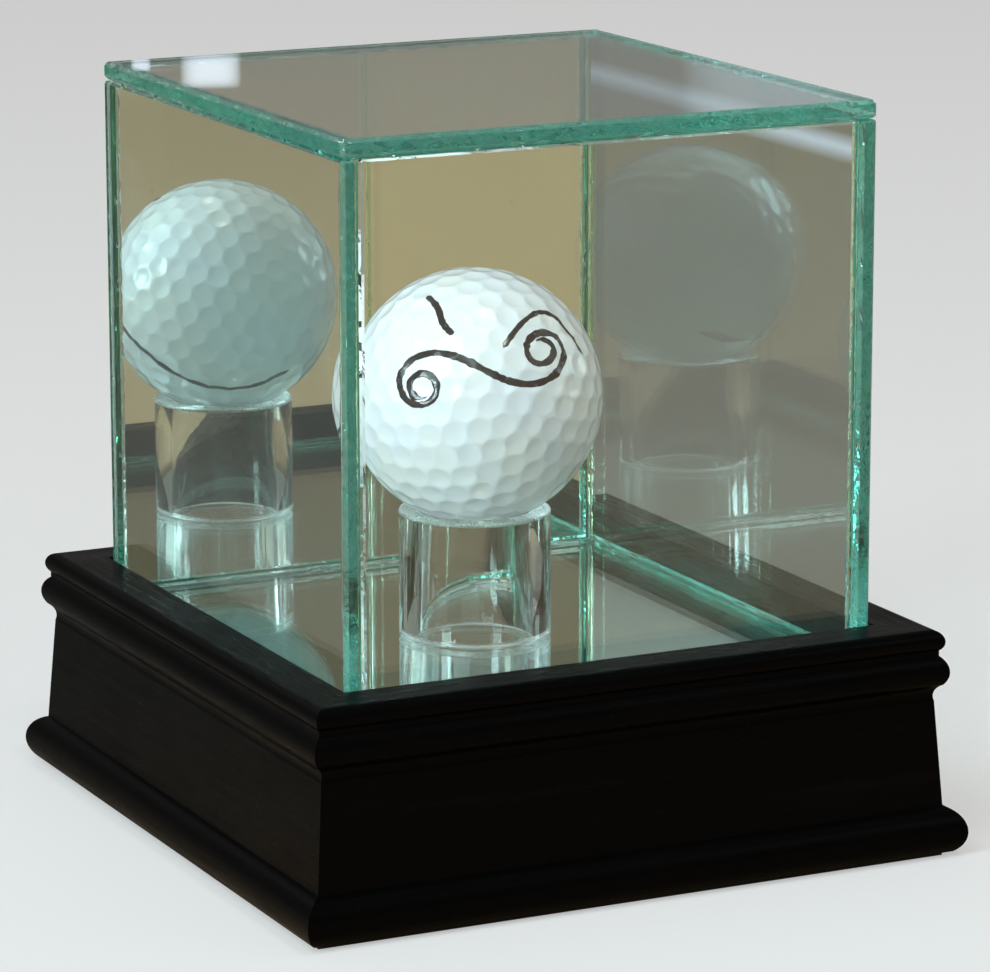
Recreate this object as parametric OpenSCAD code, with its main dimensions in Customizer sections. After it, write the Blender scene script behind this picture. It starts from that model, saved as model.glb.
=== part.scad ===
// Display case for one ball: a glass cover with a mirror back, standing on a
// mirror floor that is let into a moulded wooden base. The ball sits on a
// length of clear tube. Millimetres, +Z up, the front of the case faces -Y.
// The origin is the centre of the underside, on the surface it stands on.

/* [Glass cover] */
// Width of the cover over its side panes
cover_w = 94; // [70:0.5:140]
// Depth of the cover, front face to back face
cover_d = 98; // [70:0.5:140]
// Height of the wall panes above the mirror floor
wall_h = 89; // [80:0.5:130]
// Thickness of the clear panes
glass_t = 3; // [2:0.5:5]
// Thickness of the back mirror's glass
mirror_t = 3; // [2:0.5:5]
// Thickness of the silver and the paint behind a mirror
silver_t = 0.2; // [0.1:0.05:0.4]
// Leg of the glue bead along an inside corner
glue_leg = 0.9; // [0.4:0.1:1.5]

/* [Ball] */
// Diameter of the ball
ball_d = 42.67; // [36:0.01:52]
// Thickness of the ball's cover
ball_cover_t = 1.5; // [0.8:0.1:2.5]
// Thickness of the mantle under the cover
ball_mantle_t = 1.3; // [0.8:0.1:2.5]

/* [Ball stand] */
// Outer diameter of the stand's tube
stand_od = 25.4; // [23:0.1:31]
// Bore of the stand's tube
stand_id = 19; // [16:0.1:20]
// Height of the stand
stand_h = 21.2; // [12:0.1:26]
// Width of the seat that is dished into the tube's upper rim
seat_w = 0.5; // [0.3:0.1:1]
// Clearance between the ball and its seat
seat_gap = 0.05; // [0.02:0.01:0.2]
// Bevel round the outside of the tube's upper rim
rim_bevel = 0.7; // [0.3:0.1:1.2]
// How far the stand stands to the left of the middle
stand_left = 3; // [0:0.5:6]
// How far the stand stands in front of the middle
stand_front = 3; // [0:0.5:6]

/* [Base moulding] */
// Height of the wooden rails
rail_h = 37.2; // [34:0.2:46]
// How far the rails rise above the mirror floor
rail_rise = 5.6; // [3:0.2:8]
// Gap between the glass and the rails
cover_gap = 0.5; // [0.3:0.1:1]
// Width of the ledge that carries the floor board
ledge_w = 5.5; // [4:0.5:8]
// Width of the rebate for the bottom panel
rebate_w = 4; // [3:0.5:6]
// Radius of the upper bead
lip_r = 1.9; // [1.6:0.1:2.2]
// How far the upper bead stands out from the glass
lip_out = 9; // [8:0.1:11]
// Radius of the lower bead
bead_r = 3.3; // [2.8:0.1:3.6]
// How far the lower bead stands out from the glass
bead_out = 9.6; // [9:0.1:12]
// Radius of the cove under the lower bead
cove_r = 2.2; // [1.6:0.1:2.6]
// Depth of the quirk between the beads, measured from the upper bead
quirk_in = 0.75; // [0.4:0.05:1]
// Height of the flat in the quirk, from one bead to the other
quirk_h = 0.9; // [0.5:0.1:1.4]
// How deep the cove bites into the lower bead and into the flat face
cove_bite = 0.1; // [0.05:0.05:0.3]
// How far the flat face stands out from the glass at its top
face_top_out = 7.7; // [7:0.1:8.2]
// How far the flat face stands out from the glass at its foot
face_foot_out = 9; // [8.2:0.1:10]
// Radius of the rounded foot
foot_r = 4.3; // [3.6:0.1:4.8]
// How far the foot stands out from the glass
foot_out = 12.15; // [11.5:0.05:14]

/* [Base floor] */
// Thickness of the board under the mirror floor
board_t = 6; // [4:0.5:9]
// Thickness of the tape between the mirror floor and its board
tape_t = 1; // [0.5:0.1:1.5]
// Width of each strip of tape
tape_w = 12; // [8:1:20]
// Play round the board, the mirror floor and the bottom panel
floor_gap = 0.3; // [0.1:0.1:0.6]
// Thickness of the bottom panel
panel_t = 3; // [2:0.5:4]
// Thickness of the felt under the base
felt_t = 0.8; // [0.5:0.1:1.2]
// How far the felt stays inside the edge of the rails' underside
felt_inset = 1.3; // [0.5:0.1:3]
// Leg of the triangular blocks in the corners of the base
block_leg = 12; // [8:1:18]

/* [Fasteners] */
// Length of each leg of a mitre nail
nail_leg = 4; // [3:0.5:5]
// Thickness of a mitre nail
nail_t = 0.5; // [0.4:0.1:0.8]
// Height of a mitre nail
nail_h = 10; // [6:1:14]
// How far the mitre nails stand outward of the glass
nail_out = 2; // [0:0.5:4]
// Diameter of a panel pin
pin_d = 1.2; // [0.8:0.1:1.6]
// Diameter of a panel pin's head
pin_head_d = 2.4; // [1.8:0.1:3]
// Thickness of a panel pin's head
pin_head_t = 0.6; // [0.4:0.1:0.8]
// Length of a panel pin
pin_l = 11; // [8:0.5:14]

/* [Hidden] */
$fn = 64;
// How far a cut runs past the surface that it opens
past = 1;

// Levels, from the surface that the case stands on
rail_foot_z = felt_t;
rail_top_z = felt_t + rail_h;
floor_z = rail_top_z - rail_rise;
board_top_z = floor_z - mirror_t - silver_t - tape_t;
ledge_z = board_top_z - board_t;
panel_top_z = felt_t + panel_t;
wall_top_z = floor_z + wall_h;

// The cover's walls: the side panes run the full depth, and the front pane and
// the back mirror stand between them
inner_w = cover_w - 2 * glass_t;
back_t = mirror_t + silver_t;
inner_front_y = -cover_d / 2 + glass_t;
inner_back_y = cover_d / 2 - back_t;

// The moulding's section is drawn in u, outward from the glass, and z
lip_z = rail_top_z - lip_r;
lip_u = lip_out - lip_r;
bead_u = bead_out - bead_r;
quirk_u = lip_out - quirk_in;
lip_meets_quirk_z = lip_z - sqrt(pow(lip_r, 2) - pow(quirk_u - lip_u, 2));
bead_z = lip_meets_quirk_z - quirk_h - sqrt(pow(bead_r, 2) - pow(quirk_u - bead_u, 2));
foot_u = foot_out - foot_r;
foot_z = foot_r;
face_foot_z = foot_z + sqrt(pow(foot_r, 2) - pow(face_foot_out - foot_u, 2));
// The cove's centre stands where it bites into the bead and the face alike
cove_u = face_top_out - cove_bite + cove_r;
cove_z = bead_z - sqrt(pow(bead_r + cove_r - cove_bite, 2) - pow(cove_u - bead_u, 2));
// The flat face runs on down inside the foot's round
face_end_u = face_foot_out
    + (face_foot_out - face_top_out) * (face_foot_z - foot_z) / (cove_z - face_foot_z);
rail_inner_u = cover_gap - ledge_w;
rebate_u = rail_inner_u + rebate_w;
// The underside of the foot ends where its round meets the rail's underside
foot_edge_u = foot_u + sqrt(pow(foot_r, 2) - pow(foot_z - rail_foot_z, 2));

// The ball and its stand
stand_pos = [-stand_left, -stand_front, floor_z];
ball_r = ball_d / 2;
seat_r = stand_id / 2 + seat_w;
ball_z = floor_z + stand_h + sqrt(pow(ball_r + seat_gap, 2) - pow(seat_r, 2));
ball_pos = [-stand_left, -stand_front, ball_z];

// The panel pins go up through the middle of the rebate
pin_u = (rail_inner_u + rebate_u) / 2;
pin_x = cover_w / 2 + pin_u;
pin_y = cover_d / 2 + pin_u;
pin_places = [
    for (s = [-1, 1], k = [-1, 1]) [k * cover_w / 4, s * pin_y],
    for (s = [-1, 1], k = [-1, 1]) [s * pin_x, k * cover_d / 4]
];

wood = "#17130f";
board = "#8a6a45";
card = "#6b4a2c";
glass = "#9fc8ba";
silver = "#b9b4a6";
backing = "#5d6468";
clear = "#dfe9ea";
glue = "#e8efe6";
steel = "#a8abb0";

// A section drawn in u and z, carried along the length of a rail
module along(run) {
    rotate([90, 0, -90]) linear_extrude(run, center = true) children();
}

// The moulding before its ends are mitred: a plank with two beads and a foot,
// less the cove, the underside and the rebate for the bottom panel
module moulding(run) {
    difference() {
        union() {
            along(run) polygon([
                [rail_inner_u, rail_foot_z - past],
                [rail_inner_u, ledge_z],
                [cover_gap, ledge_z],
                [cover_gap, rail_top_z],
                [lip_u, rail_top_z],
                [quirk_u, lip_z],
                [quirk_u, bead_z],
                [bead_u, bead_z],
                [cove_u, cove_z],
                [face_top_out, cove_z],
                [face_end_u, foot_z],
                [foot_u, rail_foot_z - past]
            ]);
            along(run) translate([lip_u, lip_z]) circle(r = lip_r);
            along(run) translate([bead_u, bead_z]) circle(r = bead_r);
            along(run) translate([foot_u, foot_z]) circle(r = foot_r);
        }
        along(run + past) translate([cove_u, cove_z]) circle(r = cove_r);
        along(run + past) translate([rail_inner_u - past, rail_foot_z - foot_r])
            square([foot_out - rail_inner_u + 2 * past, foot_r]);
        along(run + past) translate([rail_inner_u - past, rail_foot_z - past])
            square([rebate_w + past, panel_t + past]);
    }
}

// One mitre nail: a thin angle with one leg in each of the two rails
module mitre_nail() {
    translate([0, 0, rail_foot_z]) {
        cube([nail_leg, nail_t, nail_h]);
        cube([nail_t, nail_leg, nail_h]);
    }
}

module all_mitre_nails() {
    for (sx = [-1, 1], sy = [-1, 1])
        translate([sx * (cover_w / 2 + nail_out), sy * (cover_d / 2 + nail_out), 0])
            mirror([sx < 0 ? 1 : 0, 0, 0])
                mirror([0, sy < 0 ? 1 : 0, 0])
                    mitre_nail();
}

// One panel pin, head down
module panel_pin() {
    translate([0, 0, rail_foot_z]) {
        cylinder(d = pin_d, h = pin_l);
        cylinder(d = pin_head_d, h = pin_head_t);
    }
}

module all_panel_pins() {
    for (p = pin_places) translate([p[0], p[1], 0]) panel_pin();
}

// A length of moulding with both ends mitred. It lies in front of the middle,
// reach away from it, and run is the length of the glass that it follows.
module rail(run, reach) {
    out = foot_out + past;
    in = ledge_w + past;
    intersection() {
        translate([0, -reach, 0]) moulding(run + 2 * out);
        linear_extrude(rail_top_z + past) polygon([
            [-run / 2 - out, -reach - out],
            [run / 2 + out, -reach - out],
            [run / 2 - in, -reach + in],
            [-run / 2 + in, -reach + in]
        ]);
    }
}

// A rail turned to its side of the case, with its nails' and pins' holes
module placed_rail(turn, run, reach) {
    difference() {
        rotate([0, 0, turn]) rail(run, reach);
        all_mitre_nails();
        all_panel_pins();
    }
}

module rail_front() {
    color(wood) placed_rail(0, cover_w, cover_d / 2);
}

module rail_back() {
    color(wood) placed_rail(180, cover_w, cover_d / 2);
}

module rail_left() {
    color(wood) placed_rail(-90, cover_d, cover_w / 2);
}

module rail_right() {
    color(wood) placed_rail(90, cover_d, cover_w / 2);
}

// Triangular blocks glued into the corners, under the floor board
module corner_blocks() {
    color(board)
        for (sx = [-1, 1], sy = [-1, 1])
            translate([sx * (cover_w / 2 + rail_inner_u), sy * (cover_d / 2 + rail_inner_u), panel_top_z])
                linear_extrude(ledge_z - panel_top_z)
                    polygon([[0, 0], [-sx * block_leg, 0], [0, -sy * block_leg]]);
}

module mitre_nails() {
    color(steel) all_mitre_nails();
}

// A flat sheet in the middle of the base. Its edges are u outward of the glass,
// less the play all round.
module sheet(u, play, z, t) {
    w = cover_w + 2 * (u - play);
    d = cover_d + 2 * (u - play);
    translate([-w / 2, -d / 2, z]) cube([w, d, t]);
}

module floor_board() {
    color(board) sheet(cover_gap, floor_gap, ledge_z, board_t);
}

// Two strips of double-sided tape, front to back
module mirror_tape() {
    strip_l = cover_d - 2 * tape_w;
    color("#d8d4c4")
        for (s = [-1, 1])
            translate([s * cover_w / 4 - tape_w / 2, -strip_l / 2, board_top_z])
                cube([tape_w, strip_l, tape_t]);
}

module floor_silver() {
    color(backing) sheet(cover_gap, floor_gap, board_top_z + tape_t, silver_t);
}

module floor_mirror() {
    color(silver) sheet(cover_gap, floor_gap, floor_z - mirror_t, mirror_t);
}

module bottom_panel() {
    color(card) difference() {
        sheet(rebate_u, floor_gap, rail_foot_z, panel_t);
        all_panel_pins();
    }
}

module panel_pins() {
    color(steel) all_panel_pins();
}

module base_felt() {
    color("#101512") sheet(foot_edge_u, felt_inset, 0, felt_t);
}

module top_pane() {
    color(glass, 0.45)
        translate([-cover_w / 2, -cover_d / 2, wall_top_z]) cube([cover_w, cover_d, glass_t]);
}

module front_pane() {
    color(glass, 0.35)
        translate([-inner_w / 2, -cover_d / 2, floor_z]) cube([inner_w, glass_t, wall_h]);
}

module left_pane() {
    color(glass, 0.35)
        translate([-cover_w / 2, -cover_d / 2, floor_z]) cube([glass_t, cover_d, wall_h]);
}

module right_pane() {
    color(glass, 0.35)
        translate([cover_w / 2 - glass_t, -cover_d / 2, floor_z]) cube([glass_t, cover_d, wall_h]);
}

module back_mirror() {
    color(silver)
        translate([-inner_w / 2, inner_back_y, floor_z]) cube([inner_w, mirror_t, wall_h]);
}

module back_silver() {
    color(backing)
        translate([-inner_w / 2, inner_back_y + mirror_t, floor_z]) cube([inner_w, silver_t, wall_h]);
}

// A hollow bead of set glue in an inside corner, its legs along +X and +Y
module glue_fillet(length) {
    linear_extrude(length) difference() {
        square(glue_leg);
        translate([glue_leg, glue_leg]) circle(r = glue_leg);
    }
}

// The upright bead in one inside corner of the cover
module glue_upright(sx, y, sy) {
    color(glue)
        translate([sx * inner_w / 2, y, floor_z])
            mirror([sx > 0 ? 1 : 0, 0, 0])
                mirror([0, sy > 0 ? 1 : 0, 0])
                    glue_fillet(wall_h - glue_leg);
}

module glue_front_left() {
    glue_upright(-1, inner_front_y, -1);
}

module glue_front_right() {
    glue_upright(1, inner_front_y, -1);
}

module glue_back_left() {
    glue_upright(-1, inner_back_y, 1);
}

module glue_back_right() {
    glue_upright(1, inner_back_y, 1);
}

// Four beads under the top pane: two between the sides, and two between those
module glue_under_top() {
    side_l = inner_back_y - inner_front_y - 2 * glue_leg;
    color(glue) {
        translate([-inner_w / 2, inner_front_y, wall_top_z]) rotate([0, 90, 0]) glue_fillet(inner_w);
        translate([inner_w / 2, inner_back_y, wall_top_z]) rotate([0, 90, 180]) glue_fillet(inner_w);
        translate([inner_w / 2, inner_front_y + glue_leg, wall_top_z])
            rotate([0, 90, 90]) glue_fillet(side_l);
        translate([-inner_w / 2, inner_back_y - glue_leg, wall_top_z])
            rotate([0, 90, -90]) glue_fillet(side_l);
    }
}

// A sawn length of clear tube, its bore's upper edge dished to the ball
module ball_stand() {
    color(clear, 0.5) difference() {
        translate(stand_pos) union() {
            cylinder(d = stand_od, h = stand_h - rim_bevel, $fn = 96);
            translate([0, 0, stand_h - rim_bevel])
                cylinder(d1 = stand_od, d2 = stand_od - 2 * rim_bevel, h = rim_bevel, $fn = 96);
        }
        translate(stand_pos - [0, 0, past]) cylinder(d = stand_id, h = stand_h + 2 * past, $fn = 96);
        translate(ball_pos) sphere(r = ball_r + seat_gap, $fn = 96);
    }
}

// One layer of the ball, between two radii
module ball_layer(outer_r, inner_r) {
    translate(ball_pos) difference() {
        sphere(r = outer_r, $fn = 96);
        sphere(r = inner_r, $fn = 96);
    }
}

module ball_cover() {
    color("#eef0ec") ball_layer(ball_r, ball_r - ball_cover_t);
}

module ball_mantle() {
    color("#d9dccb") ball_layer(ball_r - ball_cover_t, ball_r - ball_cover_t - ball_mantle_t);
}

module ball_core() {
    color("#c98a3c") translate(ball_pos) sphere(r = ball_r - ball_cover_t - ball_mantle_t, $fn = 96);
}

rail_front();
rail_back();
rail_left();
rail_right();
corner_blocks();
mitre_nails();
floor_board();
mirror_tape();
floor_silver();
floor_mirror();
bottom_panel();
panel_pins();
base_felt();
top_pane();
front_pane();
left_pane();
right_pane();
back_mirror();
back_silver();
glue_front_left();
glue_front_right();
glue_back_left();
glue_back_right();
glue_under_top();
ball_stand();
ball_cover();
ball_mantle();
ball_core();
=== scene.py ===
import bpy
import numpy as np
from mathutils import Matrix, Vector


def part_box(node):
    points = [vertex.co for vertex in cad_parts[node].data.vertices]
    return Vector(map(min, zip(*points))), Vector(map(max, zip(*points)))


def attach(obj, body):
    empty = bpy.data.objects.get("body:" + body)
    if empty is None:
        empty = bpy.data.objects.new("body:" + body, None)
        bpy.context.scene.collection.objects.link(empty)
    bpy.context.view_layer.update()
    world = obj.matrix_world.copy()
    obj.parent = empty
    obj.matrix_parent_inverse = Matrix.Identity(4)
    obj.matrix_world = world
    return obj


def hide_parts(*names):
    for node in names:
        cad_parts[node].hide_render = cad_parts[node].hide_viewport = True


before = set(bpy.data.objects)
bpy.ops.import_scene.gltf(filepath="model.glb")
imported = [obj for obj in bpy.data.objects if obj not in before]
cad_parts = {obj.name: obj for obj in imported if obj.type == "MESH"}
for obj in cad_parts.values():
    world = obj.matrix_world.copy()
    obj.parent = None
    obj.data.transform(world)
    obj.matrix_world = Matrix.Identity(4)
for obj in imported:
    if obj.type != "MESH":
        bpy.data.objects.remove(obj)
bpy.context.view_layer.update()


# ---- Wooden base ---------------------------------------------------------------------
# Four mitred lengths of moulded pine, stained black and sprayed with satin lacquer. The
# lacquer is thin, so the grain and the planer's ripple still show in a low light, and it
# is rubbed to brown here and there along the beads.

def material(name):
    """An empty node material, and a function that adds a node and sets its plain inputs."""
    mat = bpy.data.materials.new(name)
    mat.use_nodes = True
    tree = mat.node_tree
    tree.nodes.clear()

    def node(kind, values=(), **settings):
        made = tree.nodes.new(kind)
        for key, value in settings.items():
            setattr(made, key, value)
        for key, value in dict(values).items():
            if isinstance(value, bpy.types.NodeSocket):
                tree.links.new(value, made.inputs[key])
            else:
                made.inputs[key].default_value = value
        return made

    return mat, node


def in_object(node, stretch=(1, 1, 1)):
    """Object coordinates, each times its stretch."""
    place = node("ShaderNodeTexCoord").outputs["Object"]
    return node("ShaderNodeMapping", {"Vector": place, "Scale": stretch}).outputs["Vector"]


def noise(node, place, scale, detail=3.0, roughness=0.55):
    """Noise from 0 to 1; scale is about the number of lumps to a metre."""
    return node("ShaderNodeTexNoise", {
        "Vector": place, "Scale": scale, "Detail": detail, "Roughness": roughness,
    }).outputs["Fac"]


def between(node, value, low, high, to_low=0.0, to_high=1.0):
    """value from low..high spread over to_low..to_high, and held there."""
    return node("ShaderNodeMapRange", {
        "Value": value, "From Min": low, "From Max": high,
        "To Min": to_low, "To Max": to_high,
    }).outputs["Result"]


def blend_colours(node, share, first, second):
    """The first colour where share is 0, the second where it is 1."""
    return node("ShaderNodeMix", {0: share, 6: first, 7: second}, data_type="RGBA").outputs[2]


def maths(node, operation, first, second=0.0):
    """One sum, product or the like of two values."""
    return node("ShaderNodeMath", {0: first, 1: second}, operation=operation).outputs[0]


def bumped(node, height, distance, strength=1.0):
    """A normal bent by a height, which rises by distance from 0 to 1."""
    return node("ShaderNodeBump", {
        "Height": height, "Distance": distance, "Strength": strength,
    }).outputs["Normal"]


def painted(node_names, mat):
    """Gives CAD pieces a material in place of their packed one."""
    for name in node_names:
        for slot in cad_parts[name].material_slots:
            slot.material = mat


def black_lacquer(name, stretch):
    """Grain is noise drawn out along the rail; the stretch is small along its length."""
    mat, node = material(name)
    grain = noise(node, in_object(node, stretch), 900, 4.0, 0.6)
    ripple = noise(node, in_object(node), 55, 2.0)
    dust = between(node, noise(node, in_object(node), 2600, 2.0), 0.66, 0.74)
    rubbed = between(node, noise(node, in_object(node, stretch), 160, 5.0, 0.7), 0.60, 0.80)
    stain = blend_colours(node, rubbed, (0.0012, 0.0012, 0.0013, 1), (0.0040, 0.0034, 0.0030, 1))
    colour = blend_colours(node, maths(node, "MULTIPLY", dust, 0.15), stain,
                           (0.03, 0.03, 0.03, 1))
    rough = between(node, maths(node, "ADD", grain, maths(node, "MULTIPLY", ripple, 0.6)),
                    0.55, 1.05, 0.20, 0.42)
    height = maths(node, "ADD", maths(node, "MULTIPLY", grain, 0.25), ripple)
    shader = node("ShaderNodeBsdfPrincipled", {
        "Base Color": colour, "Roughness": rough, "Specular IOR Level": 0.03,
        "Coat Weight": 0.025, "Coat Roughness": 0.14,
        "Normal": bumped(node, height, 0.00012, 0.5),
    })
    node("ShaderNodeOutputMaterial", {"Surface": shader.outputs[0]})
    return mat


painted(["rail_front", "rail_back"], black_lacquer("black_lacquer_along_x", (0.06, 1, 1)))
painted(["rail_left", "rail_right"], black_lacquer("black_lacquer_along_y", (1, 0.06, 1)))


# ---- Inside the base -----------------------------------------------------------------
# Sawn pine blocks are glued into the corners, bent steel nails hold the mitres from
# below, and a medium-density board on the ledge carries the mirror floor on two strips
# of cloth tape.

def fibrous(name, light, dark, stretch, scale, rough, depth):
    """Two tones mixed by drawn-out noise, with the same noise as a faint relief."""
    mat, node = material(name)
    fibre = noise(node, in_object(node, stretch), scale, 5.0, 0.65)
    patch = noise(node, in_object(node), scale * 0.08, 2.0)
    share = between(node, maths(node, "ADD", fibre, maths(node, "MULTIPLY", patch, 0.5)),
                    0.5, 1.0)
    shader = node("ShaderNodeBsdfPrincipled", {
        "Base Color": blend_colours(node, share, light, dark),
        "Roughness": between(node, fibre, 0.3, 0.7, rough - 0.08, rough + 0.08),
        "Normal": bumped(node, fibre, depth, 0.7),
    })
    node("ShaderNodeOutputMaterial", {"Surface": shader.outputs[0]})
    return mat


painted(["corner_blocks"], fibrous("sawn_pine", (0.62, 0.43, 0.24, 1), (0.38, 0.22, 0.10, 1),
                                   (1, 1, 0.08), 1500, 0.7, 0.0001))
painted(["floor_board"], fibrous("fibre_board", (0.50, 0.35, 0.20, 1), (0.36, 0.24, 0.13, 1),
                                 (1, 1, 1), 2600, 0.85, 0.00006))
painted(["mirror_tape"], fibrous("cloth_tape", (0.80, 0.77, 0.66, 1), (0.62, 0.59, 0.49, 1),
                                 (1, 0.2, 1), 3200, 0.75, 0.00008))


def bright_steel(name):
    """Steel with drawing marks along Z and a few spots of rust."""
    mat, node = material(name)
    drawn = noise(node, in_object(node, (1, 1, 0.05)), 5200, 3.0)
    rust = between(node, noise(node, in_object(node), 900, 4.0), 0.62, 0.70)
    shader = node("ShaderNodeBsdfPrincipled", {
        "Base Color": blend_colours(node, rust, (0.55, 0.55, 0.56, 1), (0.22, 0.11, 0.06, 1)),
        "Metallic": between(node, rust, 0, 1, 1.0, 0.2),
        "Roughness": between(node, drawn, 0.3, 0.7, 0.22, 0.45),
        "Normal": bumped(node, drawn, 0.00003, 0.5),
    })
    node("ShaderNodeOutputMaterial", {"Surface": shader.outputs[0]})
    return mat


painted(["mitre_nails", "panel_pins"], bright_steel("bright_steel"))


# ---- Underside -----------------------------------------------------------------------
# A hardboard panel is pinned into the rebate with eight panel pins, and a sheet of black
# wool felt is glued over it and the rails, so that the case doesn't scratch a shelf.

painted(["bottom_panel"], fibrous("hardboard", (0.22, 0.13, 0.065, 1), (0.12, 0.065, 0.03, 1),
                                  (1, 1, 1), 3800, 0.6, 0.00004))


def wool_felt(name):
    """Matted fibres: a fine noise gives the colour, and with a coarse one the relief."""
    mat, node = material(name)
    place = in_object(node)
    matted = noise(node, place, 2300, 8.0, 0.75)
    clump = noise(node, place, 350, 3.0)
    shader = node("ShaderNodeBsdfPrincipled", {
        "Base Color": blend_colours(node, between(node, matted, 0.3, 0.7),
                                    (0.008, 0.010, 0.009, 1), (0.045, 0.05, 0.047, 1)),
        "Roughness": 0.95, "Sheen Weight": 0.3, "Sheen Roughness": 0.5,
        "Normal": bumped(node, maths(node, "ADD", matted, clump), 0.0003, 0.8),
    })
    node("ShaderNodeOutputMaterial", {"Surface": shader.outputs[0]})
    return mat


painted(["base_felt"], wool_felt("wool_felt"))


# ---- Glass cover ---------------------------------------------------------------------
# Sheets of 3 mm float glass with ground edges, bonded edge to face with clear glue that
# sets in ultraviolet light. A long way through the glass is green, so the edges are.
# Grinding leaves small scallops and chips along the arrises.

arris = 0.00065
arris_keep = 0.55
bond_gap = 0.00001
foot_gap = 0.00002
left_low, left_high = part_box("left_pane")
front_low, front_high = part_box("front_pane")
mirror_low, mirror_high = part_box("back_mirror")
top_low, top_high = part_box("top_pane")
right_low, right_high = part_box("right_pane")
random = np.random.default_rng(7)


def ruled(low, high, cuts, step):
    """Places across one side of a sheet: its ends, the arris lines, the cuts that are
    given and lines between them at uneven steps."""
    fixed = sorted({low, low + arris, high - arris, high, *cuts})
    places = [low]
    for start, end in zip(fixed[:-1], fixed[1:]):
        parts = max(1, int(round((end - start) / step)))
        weights = np.cumsum(random.uniform(0.6, 1.4, parts))
        places.extend(start + (end - start) * weights / weights[-1])
    return np.array(places)


def box_lattice(lines):
    """The points and four-sided faces of a box's surface, ruled at the given places on
    each axis. Returns points, faces, each face's axis, and its side, -1 or 1."""
    counts = [len(line) for line in lines]
    faces, axes, sides = [], [], []
    for axis in range(3):
        across, up = (axis + 1) % 3, (axis + 2) % 3
        i, j = np.meshgrid(np.arange(counts[across] - 1), np.arange(counts[up] - 1),
                           indexing="ij")
        for side in (-1, 1):
            corner = []
            for di, dj in ((0, 0), (1, 0), (1, 1), (0, 1)):
                index = [None] * 3
                index[axis] = np.full(i.shape, 0 if side < 0 else counts[axis] - 1)
                index[across], index[up] = i + di, j + dj
                corner.append((index[0] * counts[1] + index[1]) * counts[2] + index[2])
            quads = np.stack(corner if side > 0 else corner[::-1], -1).reshape(-1, 4)
            faces.append(quads)
            axes.append(np.full(len(quads), axis))
            sides.append(np.full(len(quads), side))
    faces = np.concatenate(faces)
    used, faces = np.unique(faces, return_inverse=True)
    faces = faces.reshape(-1, 4)
    index = np.stack(np.unravel_index(used, counts), -1)
    points = np.stack([lines[a][index[:, a]] for a in range(3)], -1)
    return points, faces, np.concatenate(axes), np.concatenate(sides)


def bites(along, count, length, wide, deep):
    """A row of scallops: the deepest of many parabolas, 1 - ((s - centre)/half)^2."""
    centre = random.uniform(0, length, count)
    half = random.uniform(0.3, 1.0, count) ** 2 * wide
    depth = random.uniform(0.15, 1.0, count) ** 2 * deep
    hollow = depth * (1 - ((along[:, None] - centre) / half) ** 2)
    return np.maximum(hollow, 0).max(1)


def mesh_piece(name, points, faces, mat, smooth=False):
    """A mesh of the given points and faces, in one material, that stands at the origin."""
    mesh = bpy.data.meshes.new(name)
    mesh.from_pydata(points.tolist(), [], faces if isinstance(faces, list) else faces.tolist())
    mesh.polygons.foreach_set("use_smooth", np.full(len(mesh.polygons), smooth))
    mesh.materials.append(mat)
    mesh.update()
    piece = bpy.data.objects.new(name, mesh)
    bpy.context.scene.collection.objects.link(piece)
    return piece


def face_numbers(piece, name, values):
    """One number on each face, for a material to read."""
    layer = piece.data.attributes.new(name, "FLOAT", "FACE")
    layer.data.foreach_set("value", np.asarray(values, np.float32))


# The bites are spread over a run of edge, and parallel edges start apart along it
bite_run = 1.2
bite_width = 0.0022
bite_depth = 0.5
edge_shift = (0.31, 0.47)
bites_per_chip = 6
step_through = 0.0006


def glass_sheet(name, low, high, bonds, mat, silvered=None, step=0.0011, chips=26):
    """A sheet of glass. A point p of the box is p = q + d, with q the nearest point of
    the box that is smaller by the arris; where d leans two ways, on an edge, it is
    shortened to about a half, and further in a bite. bonds are boxes, each with the axis
    and side of a face: such a face inside the box is marked bonded. silvered is the axis
    and side of the silvered face. The chips of parallel edges differ, as each edge reads
    the row of bites from its own place."""
    low, high = np.array(low), np.array(high)
    thin = int(np.argmin(high - low))
    broad = (thin + 1) % 3
    cuts = [[], [], []]
    for box in bonds:
        for axis in range(3):
            cuts[axis] += [e for e in (box[0][axis], box[1][axis])
                           if low[axis] + 2 * arris < e < high[axis] - 2 * arris]
    lines = [ruled(low[a], high[a], cuts[a], step_through if a == thin else step)
             for a in range(3)]
    points, faces, axes, sides = box_lattice(lines)
    inner = np.clip(points, low + arris, high - arris)
    lean = points - inner
    on_edge = (np.abs(lean) > 1e-9).sum(1) > 1
    middle_point = inner.mean(0)
    along = (points - low).sum(1)
    along = along + edge_shift[0] * (points[:, broad] > middle_point[broad])
    along = along + edge_shift[1] * (points[:, thin] > middle_point[thin])
    bite = bites(along, chips * bites_per_chip, bite_run, bite_width, bite_depth)
    bite = bite * random.uniform(0.75, 1.15, len(points))
    keep = np.where(on_edge, arris_keep - bite, 1.0)
    points = inner + lean * keep[:, None]
    piece = mesh_piece(name, points, faces, mat)
    centre = points[faces].mean(1)
    bonded = np.zeros(len(faces), bool)
    for box in bonds:
        near = ((centre > np.array(box[0]) - 1e-4) & (centre < np.array(box[1]) + 1e-4)).all(1)
        bonded |= near & (axes == box[2]) & (sides == box[3])
    on_arris = (np.abs(centre - np.clip(centre, low + arris, high - arris)) > 1e-6).sum(1) > 1
    face_numbers(piece, "ground", ((axes != thin) | on_arris) & ~bonded)
    face_numbers(piece, "arris", on_arris & ~bonded)
    face_numbers(piece, "bonded", bonded)
    face_numbers(piece, "silvered",
                 np.zeros(len(faces)) if silvered is None
                 else (axes == silvered[0]) & (sides == silvered[1]))
    return piece


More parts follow.
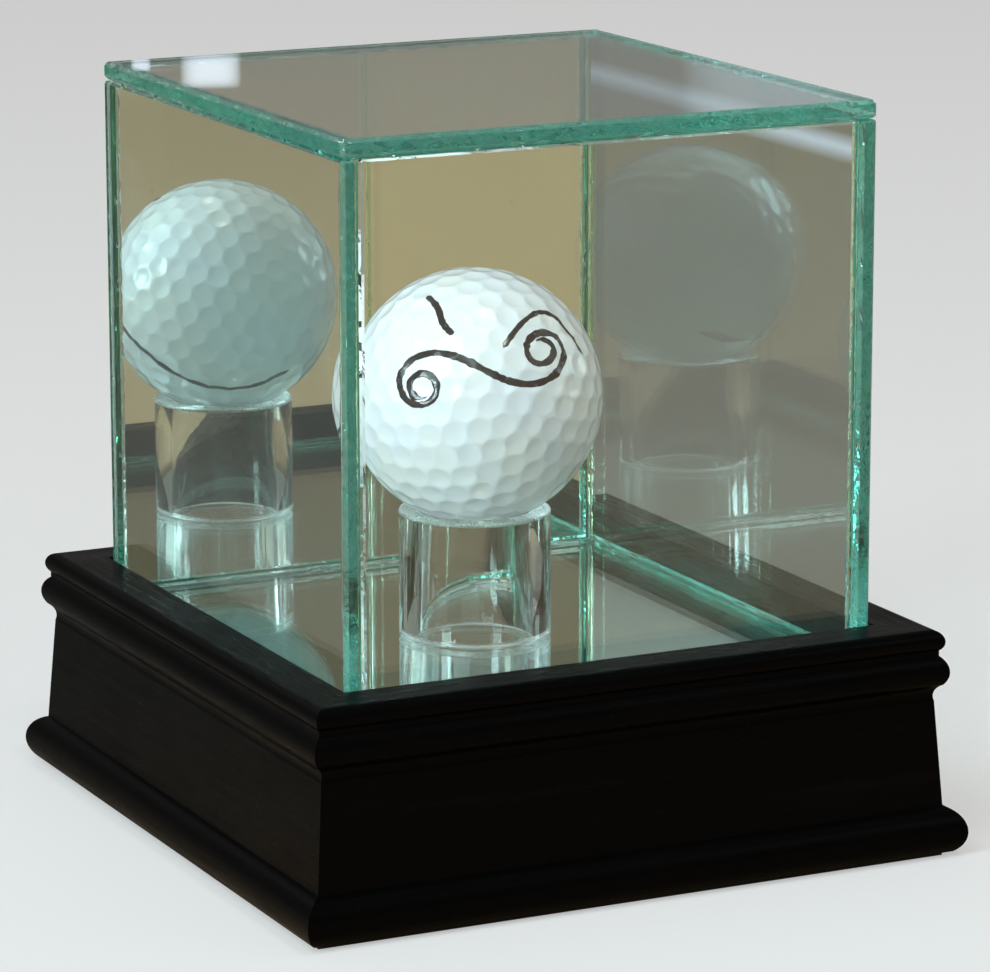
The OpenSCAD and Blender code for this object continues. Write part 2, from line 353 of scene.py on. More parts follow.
def number_on_face(node, name):
    """Reads what face_numbers wrote."""
    return node("ShaderNodeAttribute", attribute_name=name,
                attribute_type="GEOMETRY").outputs["Fac"]


def float_glass(name, mirrored):
    """Clear glass that takes up red light along the way through it. Ground faces carry
    the wheel's ripple and a little frost, the arrises more; bonded faces let light
    straight on, except where the glue missed. Lamps shine through it. Silvered faces are
    metal."""
    mat, node = material(name)
    place = in_object(node)
    ground = number_on_face(node, "ground")
    bonded = number_on_face(node, "bonded")
    wheel = noise(node, place, 420, 3.0, 0.5)
    smear = between(node, noise(node, place, 60, 4.0, 0.6), 0.60, 0.75, 0.0, 0.012)
    rough = maths(node, "ADD", smear, maths(node, "MULTIPLY", ground, 0.035))
    glass = node("ShaderNodeBsdfPrincipled", {
        "Base Color": (0.985, 1.0, 0.992, 1), "Roughness": rough, "IOR": 1.52,
        "Transmission Weight": 1.0,
        "Normal": bumped(node, maths(node, "MULTIPLY", ground, wheel), 0.00035, 0.55),
    }).outputs[0]
    frost = node("ShaderNodeBsdfPrincipled", {
        "Base Color": (0.62, 0.88, 0.74, 1), "Roughness": 0.6, "Specular IOR Level": 0.2,
    }).outputs[0]
    milky = between(node, noise(node, place, 800, 4.0, 0.65), 0.45, 0.75, 0.0, 0.10)
    arris_frost = maths(node, "MULTIPLY", number_on_face(node, "arris"), 0.11)
    milky = maths(node, "ADD", milky, arris_frost)
    glass = node("ShaderNodeMixShader", {
        0: maths(node, "MULTIPLY", ground, milky), 1: glass, 2: frost}).outputs[0]
    wetted = between(node, noise(node, place, 520, 3.0, 0.6), 0.36, 0.38)
    lamp = node("ShaderNodeLightPath").outputs["Is Shadow Ray"]
    straight = maths(node, "MAXIMUM", lamp, maths(node, "MULTIPLY", bonded, wetted))
    clear = node("ShaderNodeBsdfTransparent", {"Color": (0.975, 0.985, 0.98, 1)}).outputs[0]
    surface = node("ShaderNodeMixShader", {0: straight, 1: glass, 2: clear}).outputs[0]
    if mirrored:
        speck = between(node, noise(node, place, 1500, 3.0), 0.72, 0.76)
        silver = node("ShaderNodeBsdfPrincipled", {
            "Base Color": blend_colours(node, speck, (0.93, 0.93, 0.90, 1),
                                        (0.55, 0.53, 0.48, 1)),
            "Metallic": 1.0, "Roughness": 0.004,
        }).outputs[0]
        surface = node("ShaderNodeMixShader", {
            0: number_on_face(node, "silvered"), 1: surface, 2: silver}).outputs[0]
    inside = node("ShaderNodeVolumeAbsorption", {
        "Color": (0.0, 0.84, 0.76, 1), "Density": 18.0}).outputs[0]
    node("ShaderNodeOutputMaterial", {"Surface": surface, "Volume": inside})
    return mat


clear_glass = float_glass("clear_float_glass", False)
mirror_glass = float_glass("silvered_float_glass", True)
wall_top = left_high.z

for name, stands_for, low, high, inner_x, side in (
        ("pane_left", "left_pane", left_low, left_high, left_high.x, 1),
        ("pane_right", "right_pane", right_low, right_high, right_low.x, -1)):
    glue_lines = [
        ((low.x, low.y, wall_top - arris), (high.x, high.y, wall_top), 2, 1),
        ((inner_x, front_low.y, low.z), (inner_x, front_high.y, wall_top), 0, side),
        ((inner_x, mirror_low.y, low.z), (inner_x, mirror_high.y, wall_top), 0, side)]
    pane = glass_sheet(name, (low.x, low.y, low.z + foot_gap),
                       (high.x, high.y, high.z - bond_gap), glue_lines, clear_glass)
    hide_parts(stands_for)
    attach(pane, "cover")

for name, stands_for, low, high, mat, silvered, slot in (
        ("pane_front", "front_pane", front_low, front_high, clear_glass, None, "clear_glass"),
        ("mirror_back", "back_mirror", mirror_low, mirror_high, mirror_glass, (1, 1),
         "mirror_glass")):
    glue_lines = [
        ((low.x, low.y, wall_top - arris), (high.x, high.y, wall_top), 2, 1),
        ((low.x, low.y, low.z), (low.x + arris, high.y, wall_top), 0, -1),
        ((high.x - arris, low.y, low.z), (high.x, high.y, wall_top), 0, 1)]
    pane = glass_sheet(name, (low.x + bond_gap, low.y, low.z + foot_gap),
                       (high.x - bond_gap, high.y - foot_gap, high.z - bond_gap),
                       glue_lines, mat, silvered)
    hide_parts(stands_for)
    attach(pane, "cover")

ring = [
    ((top_low.x, top_low.y, top_low.z), (left_high.x, top_high.y, top_low.z), 2, -1),
    ((right_low.x, top_low.y, top_low.z), (top_high.x, top_high.y, top_low.z), 2, -1),
    ((top_low.x, top_low.y, top_low.z), (top_high.x, front_high.y, top_low.z), 2, -1),
    ((top_low.x, mirror_low.y, top_low.z), (top_high.x, top_high.y, top_low.z), 2, -1)]
pane = glass_sheet("pane_top", top_low, top_high, ring, clear_glass, chips=60)
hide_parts("top_pane")
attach(pane, "cover")


# ---- Mirror floor --------------------------------------------------------------------
# A sheet of the same glass, silvered and painted underneath and laid in the base. The
# cover's walls stand on it inside the rails.

floor_low, floor_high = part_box("floor_mirror")
floor_sheet = glass_sheet("mirror_floor_sheet",
                          (floor_low.x, floor_low.y, floor_low.z + foot_gap), floor_high, [],
                          mirror_glass, (2, -1), chips=12)
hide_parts("floor_mirror")
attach(floor_sheet, "base")


def backing_paint(name):
    """Dark grey protective paint, with roller texture and a few scratches through it."""
    mat, node = material(name)
    rolled = noise(node, in_object(node), 700, 4.0)
    scratch = between(node, noise(node, in_object(node, (1, 1, 14)), 130, 6.0, 0.8), 0.70, 0.72)
    shader = node("ShaderNodeBsdfPrincipled", {
        "Base Color": blend_colours(node, scratch, (0.12, 0.135, 0.14, 1),
                                    (0.40, 0.38, 0.33, 1)),
        "Roughness": between(node, rolled, 0.3, 0.7, 0.38, 0.6),
        "Normal": bumped(node, rolled, 0.00008, 0.6),
    })
    node("ShaderNodeOutputMaterial", {"Surface": shader.outputs[0]})
    return mat


painted(["back_silver", "floor_silver"], backing_paint("mirror_backing_paint"))


# ---- Set glue ------------------------------------------------------------------------
# What the bond squeezed out stands as a clear, uneven bead along each inside corner of
# the cover, and under the top pane. It set where it stood and was never trimmed.

def clear_glue(name):
    """Clear yellow-green resin, lumpy and half dull, that lamps shine through."""
    mat, node = material(name)
    place = in_object(node)
    lump = noise(node, place, 900, 4.0)
    glue = node("ShaderNodeBsdfPrincipled", {
        "Base Color": (0.76, 0.94, 0.58, 1), "Transmission Weight": 1.0, "IOR": 1.47,
        "Roughness": between(node, lump, 0.4, 0.7, 0.02, 0.18),
        "Normal": bumped(node, lump, 0.00025, 0.7),
    }).outputs[0]
    lamp = node("ShaderNodeLightPath").outputs["Is Shadow Ray"]
    clear = node("ShaderNodeBsdfTransparent", {"Color": (0.93, 0.95, 0.93, 1)}).outputs[0]
    surface = node("ShaderNodeMixShader", {0: lamp, 1: glue, 2: clear})
    node("ShaderNodeOutputMaterial", {"Surface": surface.outputs[0]})
    return mat


set_glue = clear_glue("set_clear_glue")


def glue_bead(start, end, first, second, leg, steps=260):
    """A hollow fillet between two faces: its section is a corner, two legs along first
    and second, and an arc that sags in between them; the legs swell and shrink along the
    run with smoothed noise, and the ends close on a point."""
    start, end, first, second = (np.array(v, float) for v in (start, end, first, second))
    t = np.linspace(0, 1, steps)
    kernel = np.hanning(9) / np.hanning(9).sum()
    swell = 0.62 + 0.5 * np.convolve(random.uniform(-1, 1, steps + 8), kernel, "valid")
    swell = np.clip(swell, 0.25, 1.0) * np.minimum(1, np.minimum(t, 1 - t) * 60 + 0.02)
    turn = np.linspace(0, np.pi / 2, 5)
    section = np.array([(0.0, 0.0), *[(1 - np.sin(a), 1 - np.cos(a)) for a in turn]])
    across = section[:, :1] * first + section[:, 1:] * second
    centre = start + (end - start) * t[:, None]
    points = centre[:, None, :] + leg * swell[:, None, None] * across
    points = np.concatenate([points.reshape(-1, 3), [start, end]])
    count = len(section)
    i, j = np.meshgrid(np.arange(steps - 1), np.arange(count), indexing="ij")
    k = (j + 1) % count
    walls = np.stack([i * count + j, i * count + k, (i + 1) * count + k, (i + 1) * count + j],
                     -1).reshape(-1, 4)
    j, k = j[0], k[0]
    last = (steps - 1) * count
    near = np.stack([np.full(count, len(points) - 2), k, j], -1)
    far = np.stack([np.full(count, len(points) - 1), last + j, last + k], -1)
    ends = np.stack([near, far], 1).reshape(-1, 3)
    if np.dot(np.cross(first, second), end - start) > 0:
        walls, ends = walls[:, ::-1], ends[:, ::-1]
    return points, [*walls, *ends]


def joined(parts):
    """The points and faces of several parts as one."""
    before = np.cumsum([0, *[len(points) for points, _ in parts]])
    faces = [(face + start).tolist()
             for start, (_, some) in zip(before, parts) for face in some]
    return np.concatenate([points for points, _ in parts]), faces


def glue_piece(name, stands_for, runs):
    """One piece of glue, of one bead or more."""
    piece = mesh_piece(name, *joined([glue_bead(*run) for run in runs]), set_glue, smooth=True)
    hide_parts(stands_for)
    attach(piece, "cover")


clearance = 0.00003
leg = 0.0008
foot_short, top_short, side_short = 0.0002, 0.0011, 0.001
x_left, x_right = left_high.x + clearance, right_low.x - clearance
y_front, y_back = front_high.y + clearance, mirror_low.y - clearance
z_low, z_high = floor_high.z + foot_short, wall_top - top_short
for name, stands_for, x, y in (
        ("bead_front_left", "glue_front_left", x_left, y_front),
        ("bead_front_right", "glue_front_right", x_right, y_front),
        ("bead_back_left", "glue_back_left", x_left, y_back),
        ("bead_back_right", "glue_back_right", x_right, y_back)):
    inward = (1 if x < 0 else -1, 0, 0)
    glue_piece(name, stands_for, [((x, y, z_low), (x, y, z_high), inward,
                                   (0, 1 if y < 0 else -1, 0), leg)])
under = wall_top - clearance
glue_piece("bead_under_top", "glue_under_top", [
    ((x_left, y_front, under), (x_right, y_front, under), (0, 1, 0), (0, 0, -1), leg),
    ((x_left, y_back, under), (x_right, y_back, under), (0, -1, 0), (0, 0, -1), leg),
    ((x_left, y_front + side_short, under), (x_left, y_back - side_short, under), (1, 0, 0),
     (0, 0, -1), leg),
    ((x_right, y_front + side_short, under), (x_right, y_back - side_short, under), (-1, 0, 0),
     (0, 0, -1), leg)])


# ---- Ball stand ----------------------------------------------------------------------
# A sawn length of clear acrylic tube, 25.4 mm across with a 19 mm bore. The wall is as
# drawn, with faint streaks along it; the sawn ends are sanded, and the upper one is
# rounded over and dished inside to seat the ball.

stand_low, stand_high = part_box("ball_stand")
ball_low, ball_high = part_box("ball_cover")
ball_radius = (ball_high.z - ball_low.z) / 2
ball_at = np.array((ball_low + ball_high) / 2)
bore_radius = 0.0095


def clear_acrylic(name):
    """Clear plastic: streaks along the drawn wall, and saw marks round the cut ends."""
    mat, node = material(name)
    sawn = number_on_face(node, "sawn")
    streak = noise(node, in_object(node, (1, 1, 0.03)), 700, 2.0)
    saw = noise(node, in_object(node, (1, 0.12, 1)), 3800, 3.0)
    height = maths(node, "ADD", maths(node, "MULTIPLY", streak, 0.22),
                   maths(node, "MULTIPLY", sawn, saw))
    plastic = node("ShaderNodeBsdfPrincipled", {
        "Base Color": (0.985, 0.995, 1.0, 1), "Transmission Weight": 1.0, "IOR": 1.49,
        "Roughness": maths(node, "MULTIPLY", sawn, between(node, saw, 0.3, 0.7, 0.22, 0.42)),
        "Normal": bumped(node, height, 0.00009, 0.6),
    }).outputs[0]
    lamp = node("ShaderNodeLightPath").outputs["Is Shadow Ray"]
    clear = node("ShaderNodeBsdfTransparent", {"Color": (0.90, 0.92, 0.93, 1)}).outputs[0]
    surface = node("ShaderNodeMixShader", {0: lamp, 1: plastic, 2: clear})
    node("ShaderNodeOutputMaterial", {"Surface": surface.outputs[0]})
    return mat


def turned(name, profile, centre, marks, mat, around=192):
    """A closed profile of radius and height, carried once round a vertical line. marks
    says which strips of the profile are sawn."""
    profile = np.array(profile)
    turn = np.linspace(0, 2 * np.pi, around, endpoint=False)
    points = np.stack([
        centre[0] + profile[None, :, 0] * np.cos(turn)[:, None],
        centre[1] + profile[None, :, 0] * np.sin(turn)[:, None],
        np.repeat(profile[None, :, 1], around, 0)], -1).reshape(-1, 3)
    count = len(profile)
    i, j = np.meshgrid(np.arange(around), np.arange(count), indexing="ij")
    i2, j2 = (i + 1) % around, (j + 1) % count
    faces = np.stack([i * count + j, i2 * count + j, i2 * count + j2, i * count + j2],
                     -1).reshape(-1, 4)
    piece = mesh_piece(name, points, faces, mat, smooth=True)
    face_numbers(piece, "sawn", np.tile(np.asarray(marks, float), around))
    piece.data.set_sharp_from_angle(angle=np.radians(32))
    return piece


outer = (stand_high.x - stand_low.x) / 2
stand_centre = ((stand_low.x + stand_high.x) / 2, (stand_low.y + stand_high.y) / 2)
foot, rim = stand_low.z + foot_gap, stand_high.z
round_over = 0.0007
seat_radius = ball_radius + 0.00005
seat_edge = 0.01
seat = np.linspace(seat_edge - 0.00002, bore_radius, 5)
seat_z = ball_at[2] - np.sqrt(seat_radius ** 2 - seat ** 2)
over = np.linspace(0, np.pi / 2, 7)
profile, marks = [], []
for r, z, sawn in (
        [(bore_radius + 0.0001, foot, 1), (outer - 0.0002, foot, 1), (outer, foot + 0.0002, 0)]
        + [(outer, foot + (rim - round_over - foot) * s, 0) for s in (0.33, 0.66)]
        + [(outer - round_over * (1 - np.cos(a)), rim - round_over * (1 - np.sin(a)), 1)
           for a in over]
        + [(r, min(z, rim), 1) for r, z in zip(seat, seat_z)]
        + [(bore_radius, foot + 0.0003, 1)]):
    profile.append((r, z))
    marks.append(sawn)
marks[-2] = 0
stand = turned("clear_tube", profile, stand_centre, marks, clear_acrylic("clear_acrylic"))
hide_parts("ball_stand")
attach(stand, "stand")


# ---- Ball ----------------------------------------------------------------------------
# A solid ball of rubber and resin under a moulded cover with 362 shallow dimples in an
# even triangular net, painted white and clear-coated.

def geodesic(n):
    """The points and faces of an icosahedron whose sides are cut into n, pushed out to
    radius 1. A point in a face is its three corners weighted i, j and n - i - j."""
    g = (1 + 5 ** 0.5) / 2
    corners = np.array([(-1, g, 0), (1, g, 0), (-1, -g, 0), (1, -g, 0), (0, -1, g), (0, 1, g),
                        (0, -1, -g), (0, 1, -g), (g, 0, -1), (g, 0, 1), (-g, 0, -1), (-g, 0, 1)])
    sides = np.array([(0, 11, 5), (0, 5, 1), (0, 1, 7), (0, 7, 10), (0, 10, 11), (1, 5, 9),
                      (5, 11, 4), (11, 10, 2), (10, 7, 6), (7, 1, 8), (3, 9, 4), (3, 4, 2),
                      (3, 2, 6), (3, 6, 8), (3, 8, 9), (4, 9, 5), (2, 4, 11), (6, 2, 10),
                      (8, 6, 7), (9, 8, 1)])
    i, j = np.meshgrid(np.arange(n + 1), np.arange(n + 1), indexing="ij")
    inside = i + j <= n
    number = np.full((n + 1, n + 1), -1)
    number[inside] = np.arange(inside.sum())
    weights = np.stack([n - i[inside] - j[inside], i[inside], j[inside]], -1) / n
    points = np.einsum("kw,fwc->fkc", weights, corners[sides]).reshape(-1, 3)
    up = inside & (i + j <= n - 1)
    down = inside & (i + j <= n - 2)
    ui, uj, vi, vj = i[up], j[up], i[down], j[down]
    one = np.concatenate([
        np.stack([number[ui, uj], number[ui + 1, uj], number[ui, uj + 1]], -1),
        np.stack([number[vi + 1, vj], number[vi + 1, vj + 1], number[vi, vj + 1]], -1)])
    faces = (one[None] + np.arange(20)[:, None, None] * inside.sum()).reshape(-1, 3)
    points /= np.linalg.norm(points, axis=1)[:, None]
    _, first, same = np.unique(np.round(points, 6), axis=0, return_index=True,
                               return_inverse=True)
    return points[first], same.ravel()[faces]


def evened(points, rounds=60):
    """Points on a sphere, each pushed from every other by 1 / (their distance)^4."""
    for _ in range(rounds):
        apart = points[:, None] - points[None]
        far = np.linalg.norm(apart, axis=2) + np.eye(len(points))
        push = (apart / far[..., None] ** 5).sum(1)
        push /= np.abs(push).max()
        points = points + 0.01 * push
        points /= np.linalg.norm(points, axis=1)[:, None]
    return points


def turned_to(points, x, y, z):
    """Points turned about X, then Y, then Z, in radians."""
    turn = Matrix.Rotation(z, 3, "Z") @ Matrix.Rotation(y, 3, "Y") @ Matrix.Rotation(x, 3, "X")
    return points @ np.array(turn).T


dimple_depth = 0.00025
dimple_radius = 0.00198
skin_inset = 0.00002
skin_cuts = 90
dimples = turned_to(evened(geodesic(6)[0]), 0.35, 0.2, 0.5)


def ball_surface(direction):
    """Radius in each direction: the ball's, less a dimple depth * (1 - t^2), where t
    is the distance to the nearest dimple's middle over the dimple's radius."""
    nearest = np.full(len(direction), -1.0)
    for start in range(0, len(direction), 20000):
        part = slice(start, start + 20000)
        nearest[part] = (direction[part] @ dimples.T).max(1)
    t = np.arccos(np.clip(nearest, -1, 1)) * ball_radius / dimple_radius
    return ball_radius - skin_inset - dimple_depth * np.clip(1 - t ** 2, 0, 1)


def white_enamel(name):
    """White paint under clear coat, with faint handling marks."""
    mat, node = material(name)
    place = in_object(node)
    patch = noise(node, place, 90, 3.0)
    grime = between(node, noise(node, place, 420, 5.0, 0.7), 0.62, 0.75, 0.0, 0.25)
    clean = blend_colours(node, between(node, patch, 0.35, 0.65),
                          (0.73, 0.72, 0.77, 1), (0.75, 0.72, 0.70, 1))
    shader = node("ShaderNodeBsdfPrincipled", {
        "Base Color": blend_colours(node, grime, clean, (0.62, 0.61, 0.53, 1)),
        "Roughness": between(node, patch, 0.3, 0.7, 0.30, 0.38),
        "Coat Weight": 0.9, "Coat Roughness": 0.035,
        "Normal": bumped(node, noise(node, place, 3000, 2.0), 0.00002, 0.3),
    })
    node("ShaderNodeOutputMaterial", {"Surface": shader.outputs[0]})
    return mat


skin, skin_faces = geodesic(skin_cuts)
ball = mesh_piece("dimpled_ball", ball_at + skin * ball_surface(skin)[:, None], skin_faces,
                  white_enamel("white_ball_enamel"), smooth=True)
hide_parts("ball_cover")
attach(ball, "ball")
painted(["ball_mantle"], fibrous("moulded_mantle", (0.72, 0.74, 0.62, 1), (0.60, 0.62, 0.50, 1),
                                 (1, 1, 1), 1200, 0.5, 0.00003))
painted(["ball_core"], fibrous("rubber_core", (0.62, 0.34, 0.12, 1), (0.48, 0.24, 0.08, 1),
                               (1, 1, 1), 1500, 0.7, 0.00003))


# ---- Pen flourish --------------------------------------------------------------------
# A scroll, a dash and an arc in black marker across the front of the ball, with one long
# stroke low on its back. The ink lies over ridges and dimples alike, greyer in random
# patches where it is thin.

def pen_stroke(line, width, thick=0.00003):
    """A flat tube along a line of directions on the ball. Across the stroke a point is
    width/2 * cos a to the side and thick * sin a outward; the ends are closed flat."""
    step = np.gradient(line, axis=0)
    side = np.cross(line, step)
    side /= np.linalg.norm(side, axis=1)[:, None]
    turn = np.linspace(0, 2 * np.pi, 8, endpoint=False)
    out = width[:, None] / 2 * np.cos(turn)
    ray = line[:, None, :] + side[:, None, :] * (out / ball_radius)[..., None]
    ray /= np.linalg.norm(ray, axis=2)[..., None]
    flat = ray.reshape(-1, 3)
    radius = ball_surface(flat) + (thick * np.repeat(np.sin(turn)[None], len(line), 0)).ravel()
    points = ball_at + flat * radius[:, None]
    count, steps = len(turn), len(line)
    i, j = np.meshgrid(np.arange(steps - 1), np.arange(count), indexing="ij")
    k = (j + 1) % count
    walls = np.stack([i * count + j, (i + 1) * count + j, (i + 1) * count + k, i * count + k],
                     -1).reshape(-1, 4)
    start = np.arange(count)
    end = (steps - 1) * count + start[::-1]
    return points, [*walls, start, end]


# The flourish faces the front left, a little up
toward = np.array((-0.4264, -0.8806, 0.2065))
toward /= np.linalg.norm(toward)
sideways = np.cross((0, 0, 1), toward)
sideways /= np.linalg.norm(sideways)
upward = np.cross(toward, sideways)


def on_ball(right, up):
    """Directions from places on the ball's face: right and up are shares of its radius."""
    depth = np.sqrt(np.clip(1 - right ** 2 - up ** 2, 0.002, 1))
    line = right[:, None] * sideways + up[:, None] * upward + depth[:, None] * toward
    return line / np.linalg.norm(line, axis=1)[:, None]


def pen_width(count, broad):
    """The pen's width, which swells and shrinks a little and tapers at both ends."""
    t = np.linspace(0, 1, count)
    kernel = np.hanning(15) / np.hanning(15).sum()
    press = 1 + 0.55 * np.convolve(random.uniform(-1, 1, count + 14), kernel, "valid")
    return broad * press * np.minimum(1, np.minimum(t, 1 - t) * 30 + 0.15)


# A scroll with a whorl at each end: its heading turns with the square of the way along
t = np.linspace(-1, 1, 900)
curl, tilt, scroll_length = 10.5, np.radians(28), 1.75
heading = curl * t ** 2 - tilt
reach = scroll_length * (t[1] - t[0])
scroll_right, scroll_up = np.cumsum(np.cos(heading)) * reach, np.cumsum(np.sin(heading)) * reach
half_way = len(t) // 2
scroll = on_ball(scroll_right - scroll_right[half_way] + 0.06,
                 scroll_up - scroll_up[half_way] + 0.20)
t = np.linspace(0, 1, 160)
slash = on_ball(-0.36 + 0.20 * t + 0.02 * np.sin(2 * np.pi * t), 0.76 - 0.30 * t)
t = np.linspace(0, 1, 240)
hook = on_ball(0.22 + 0.62 * t, 0.36 + 0.30 * np.sin(np.pi * t) - 0.05 * t)
t = np.linspace(0, 1, 400)
back_stroke = on_ball(-0.90 + 1.50 * t, -0.20 - 1.88 * t + 1.43 * t ** 2) * (1, -1, 1)


def marker_ink(name):
    """Black ink, greyer where it is thin."""
    mat, node = material(name)
    thin = between(node, noise(node, in_object(node), 1300, 3.0), 0.62, 0.75)
    shader = node("ShaderNodeBsdfPrincipled", {
        "Base Color": blend_colours(node, thin, (0.006, 0.006, 0.009, 1),
                                    (0.11, 0.10, 0.13, 1)),
        "Roughness": between(node, thin, 0, 1, 0.24, 0.45),
        "Coat Weight": 0.4, "Coat Roughness": 0.1,
    })
    node("ShaderNodeOutputMaterial", {"Surface": shader.outputs[0]})
    return mat


parts = [pen_stroke(line, pen_width(len(line), broad)) for line, broad in (
    (scroll, 0.0012), (slash, 0.0011), (hook, 0.0009), (back_stroke, 0.0010))]
flourish = mesh_piece("pen_flourish", *joined(parts), marker_ink("black_marker_ink"),
                      smooth=True)
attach(flourish, "ball")


# ---- Studio --------------------------------------------------------------------------
# A plain pale floor under soft boxes; to the eye the floor stays pale. To glass and mirrors
# the floor is painted light: a dim tan room, lighter in front, with a painted bright
# streak behind on the right, and glowing cards stand round it in place of lit walls.

mat, node = material("pale_floor")
camera_sees = node("ShaderNodeLightPath").outputs["Is Camera Ray"]
place = node("ShaderNodeSeparateXYZ", {"Vector": in_object(node)})
# Seen in glass and mirrors, the floor is painted tan in front and grey-brown behind, in place of
# the reflected room; the front is painted lighter to make up for the little lamp light there
painted_floor_in_glass = blend_colours(node, between(node, place.outputs["Y"], -0.1, 0.12),
                      (0.69, 0.45, 0.26, 1), (0.34, 0.31, 0.275, 1))
# A painted highlight: a blue-white streak, brighter than any paint, on the floor behind the case
# on the right, seen only in glass
painted_streak_x, painted_streak_half_width = 0.423, 0.016
painted_streak_start, painted_streak_full = 0.52, 0.58
off_painted_streak = maths(node, "ABSOLUTE", maths(node, "SUBTRACT", place.outputs["X"], painted_streak_x))
painted_streak = maths(node, "MULTIPLY", between(node, off_painted_streak, 0.0, painted_streak_half_width, 1, 0),
              between(node, place.outputs["Y"], painted_streak_start, painted_streak_full))
painted_floor_in_glass = blend_colours(node, painted_streak, painted_floor_in_glass, (1.3, 1.4, 1.7, 1))
shader = node("ShaderNodeBsdfPrincipled", {
    "Base Color": blend_colours(node, camera_sees, painted_floor_in_glass, (0.86, 0.86, 0.85, 1)),
    "Roughness": 0.9, "Specular IOR Level": 0.1}).outputs[0]
glow = node("ShaderNodeEmission", {"Color": (0.95, 0.95, 0.94, 1)}).outputs[0]
surface = node("ShaderNodeMixShader", {
    0: maths(node, "MULTIPLY", camera_sees, 0.45), 1: shader, 2: glow})
node("ShaderNodeOutputMaterial", {"Surface": surface.outputs[0]})
half_side = 6.0
floor_corners = half_side * np.array([(-1, -1, 0), (1, -1, 0), (1, 1, 0), (-1, 1, 0)])
floor = mesh_piece("studio_floor", floor_corners, np.array([(0, 1, 2, 3)]), mat)

world = bpy.data.worlds.new("studio")
bpy.context.scene.world = world
world.use_nodes = True
tree = world.node_tree
tree.nodes.clear()
path = tree.nodes.new("ShaderNodeLightPath")
pale = tree.nodes.new("ShaderNodeBackground")
pale.inputs["Color"].default_value = (0.86, 0.86, 0.85, 1)
pale.inputs["Strength"].default_value = 1.0
room = tree.nodes.new("ShaderNodeBackground")
room.inputs["Color"].default_value = (0.44, 0.43, 0.42, 1)
room.inputs["Strength"].default_value = 0.53
either = tree.nodes.new("ShaderNodeMixShader")
out = tree.nodes.new("ShaderNodeOutputWorld")
tree.links.new(path.outputs["Is Camera Ray"], either.inputs[0])
tree.links.new(room.outputs[0], either.inputs[1])
tree.links.new(pale.outputs[0], either.inputs[2])
tree.links.new(either.outputs[0], out.inputs["Surface"])


def softbox(name, place, aim, width, height, power, colour):
    """A flat lamp that faces its aim; sizes in metres, power in watts."""
    lamp = bpy.data.lights.new(name, "AREA")
    lamp.shape, lamp.size, lamp.size_y = "RECTANGLE", width, height
    lamp.energy, lamp.color = power, colour
    holder = bpy.data.objects.new(name, lamp)
    holder.location = place
    holder.rotation_euler = (Vector(aim) - Vector(place)).to_track_quat("-Z", "Y").to_euler()
    bpy.context.scene.collection.objects.link(holder)
    return holder


middle = (0, 0, 0.07)
softbox("key_box", (-0.75, -0.55, 0.95), middle, 0.6, 0.6, 5.4, (0.76, 0.93, 1.0))
softbox("front_box", (-0.35, -1.15, 0.88), middle, 0.9, 0.5, 1.9, (0.78, 0.94, 1.0))
softbox("fill_box", (0.9, -0.7, 0.75), middle, 0.7, 0.5, 0.7, (1.0, 0.95, 0.88))
softbox("back_box", (-0.5, 0.9, 0.9), middle, 0.5, 0.5, 0.7, (0.95, 0.97, 1.0))
softbox("ceiling_lamp", (0.02, -0.34, 1.22), middle, 0.15, 0.15, 1.7, (1.0, 0.90, 0.78))
softbox("window_left", (-1.32, -0.49, 0.57), middle, 0.40, 0.50, 12.0, (0.74, 0.92, 1.0))
softbox("window_right", (1.35, -0.15, 0.42), middle, 0.25, 0.40, 1.2, (0.84, 0.94, 1.0))


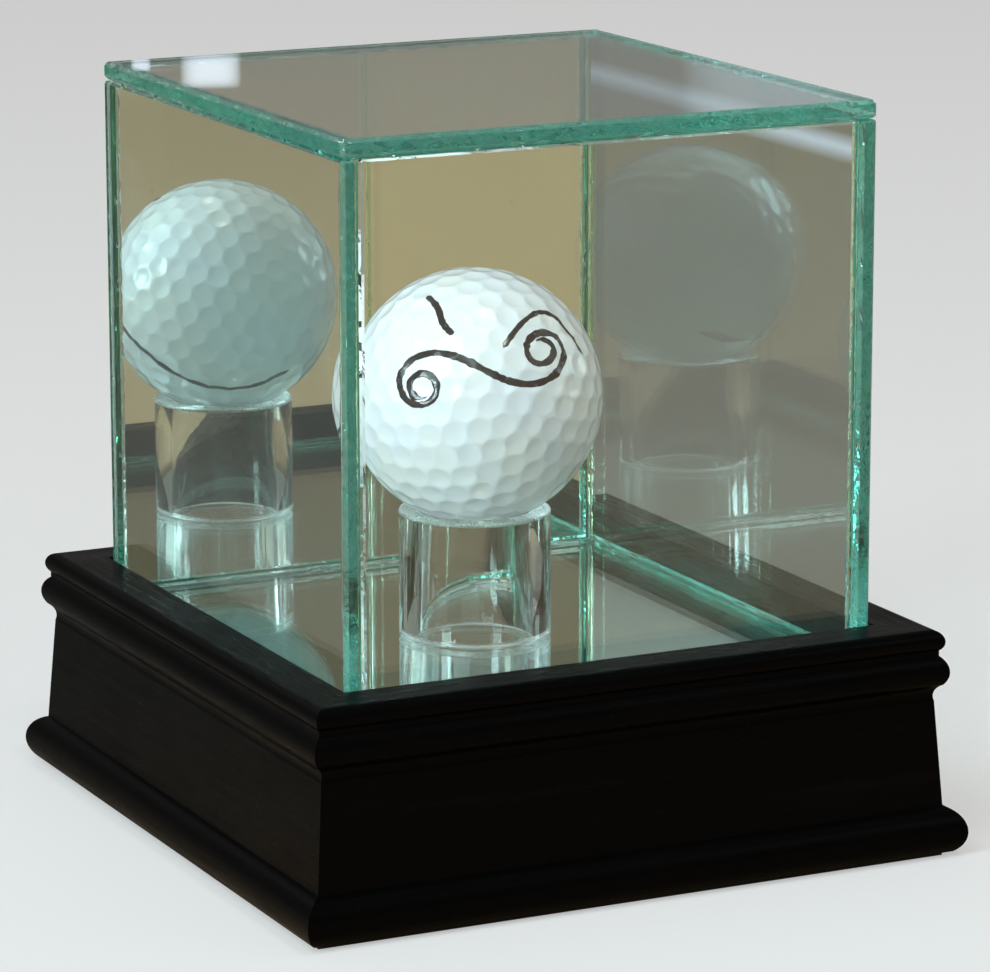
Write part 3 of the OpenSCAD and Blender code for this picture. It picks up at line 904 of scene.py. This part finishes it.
def card(name, centre, width, height, colour):
    """A card that faces the case, for glass and mirrors to show. It glows with its own colour
    in the middle, as painted light, and fades as (1 - u^4)(1 - v^4) towards its sides."""
    centre = np.array(centre)
    facing = centre - np.array(middle)
    facing /= np.linalg.norm(facing)
    across = np.cross((0, 0, 1), facing)
    across /= np.linalg.norm(across)
    up = np.cross(facing, across)
    cells = 12
    ruling = np.linspace(-1, 1, cells + 1)
    u, v = np.meshgrid(ruling, ruling, indexing="ij")
    points = (centre + u.reshape(-1, 1) * across * width / 2
              + v.reshape(-1, 1) * up * height / 2)
    i, j = np.meshgrid(np.arange(cells), np.arange(cells), indexing="ij")
    corner = (i * (cells + 1) + j).ravel()
    faces = np.stack([corner, corner + 1, corner + cells + 2, corner + cells + 1], -1)
    mat, node = material(name)
    glow = node("ShaderNodeEmission", {"Color": (*colour, 1)}).outputs[0]
    clear = node("ShaderNodeBsdfTransparent").outputs[0]
    surface = node("ShaderNodeMixShader", {
        0: number_on_face(node, "glow"), 1: clear, 2: glow}).outputs[0]
    node("ShaderNodeOutputMaterial", {"Surface": surface})
    piece = mesh_piece(name, points, faces, mat)
    layer = piece.data.attributes.new("glow", "FLOAT", "POINT")
    layer.data.foreach_set("value", ((1 - u ** 4) * (1 - v ** 4)).ravel().astype(np.float32))
    piece.visible_camera = False


# Painted light: the walls and the paper edge glow with their own colour in place of lit
# surfaces; the far windows are small lamps
card("glowing_brown_card", (0.75, -1.5, 0.42), 1.5, 0.80, (0.22, 0.145, 0.095))
card("glowing_card_behind", (-0.75, 1.6, 0.42), 1.3, 0.70, (0.17, 0.14, 0.12))
card("glowing_pale_card", (0.93, 1.78, 0.72), 0.9, 0.40, (0.36, 0.36, 0.33))
card("far_window", (0.732, 1.865, 0.40), 0.036, 0.022, (1.1, 1.2, 1.35))
card("far_window_right", (1.03, 1.73, 0.407), 0.11, 0.06, (0.42, 0.47, 0.50))
card("far_window_left", (0.701, 1.896, 0.398), 0.012, 0.010, (1.1, 1.2, 1.35))
card("glowing_paper_edge", (0.262, -0.74, 0.016), 0.030, 0.026, (1.2, 1.3, 1.5))

# The camera stands to the front left, a little above the case, with a long lens
camera_data = bpy.data.cameras.new("camera")
camera_data.sensor_width = 36.0
camera_data.sensor_fit = "HORIZONTAL"
camera_data.lens = 176.11
camera_data.shift_x = 0.0523
camera_data.shift_y = -0.0237
camera_data.clip_end = 60.0
camera = bpy.data.objects.new("camera", camera_data)
yaw, pitch, roll = np.radians((25.44, 12.55, -0.20))
forward = Vector((np.sin(yaw) * np.cos(pitch), np.cos(yaw) * np.cos(pitch), -np.sin(pitch)))
level = Vector((np.cos(yaw), -np.sin(yaw), 0))
above = level.cross(forward)
right = level * np.cos(roll) + above * np.sin(roll)
above = right.cross(forward)
turn = Matrix((right, above, -forward)).transposed()
camera.matrix_world = Matrix.Translation((-0.34519, -0.71141, 0.23601)) @ turn.to_4x4()
bpy.context.scene.collection.objects.link(camera)
bpy.context.scene.camera = camera
bpy.context.scene.view_settings.view_transform = "Standard"
# Light bounces a dozen times and more on its way along a sheet of glass
bpy.context.scene.cycles.max_bounces = 40
bpy.context.scene.cycles.glossy_bounces = 32
bpy.context.scene.cycles.transmission_bounces = 32
bpy.context.scene.cycles.transparent_max_bounces = 32
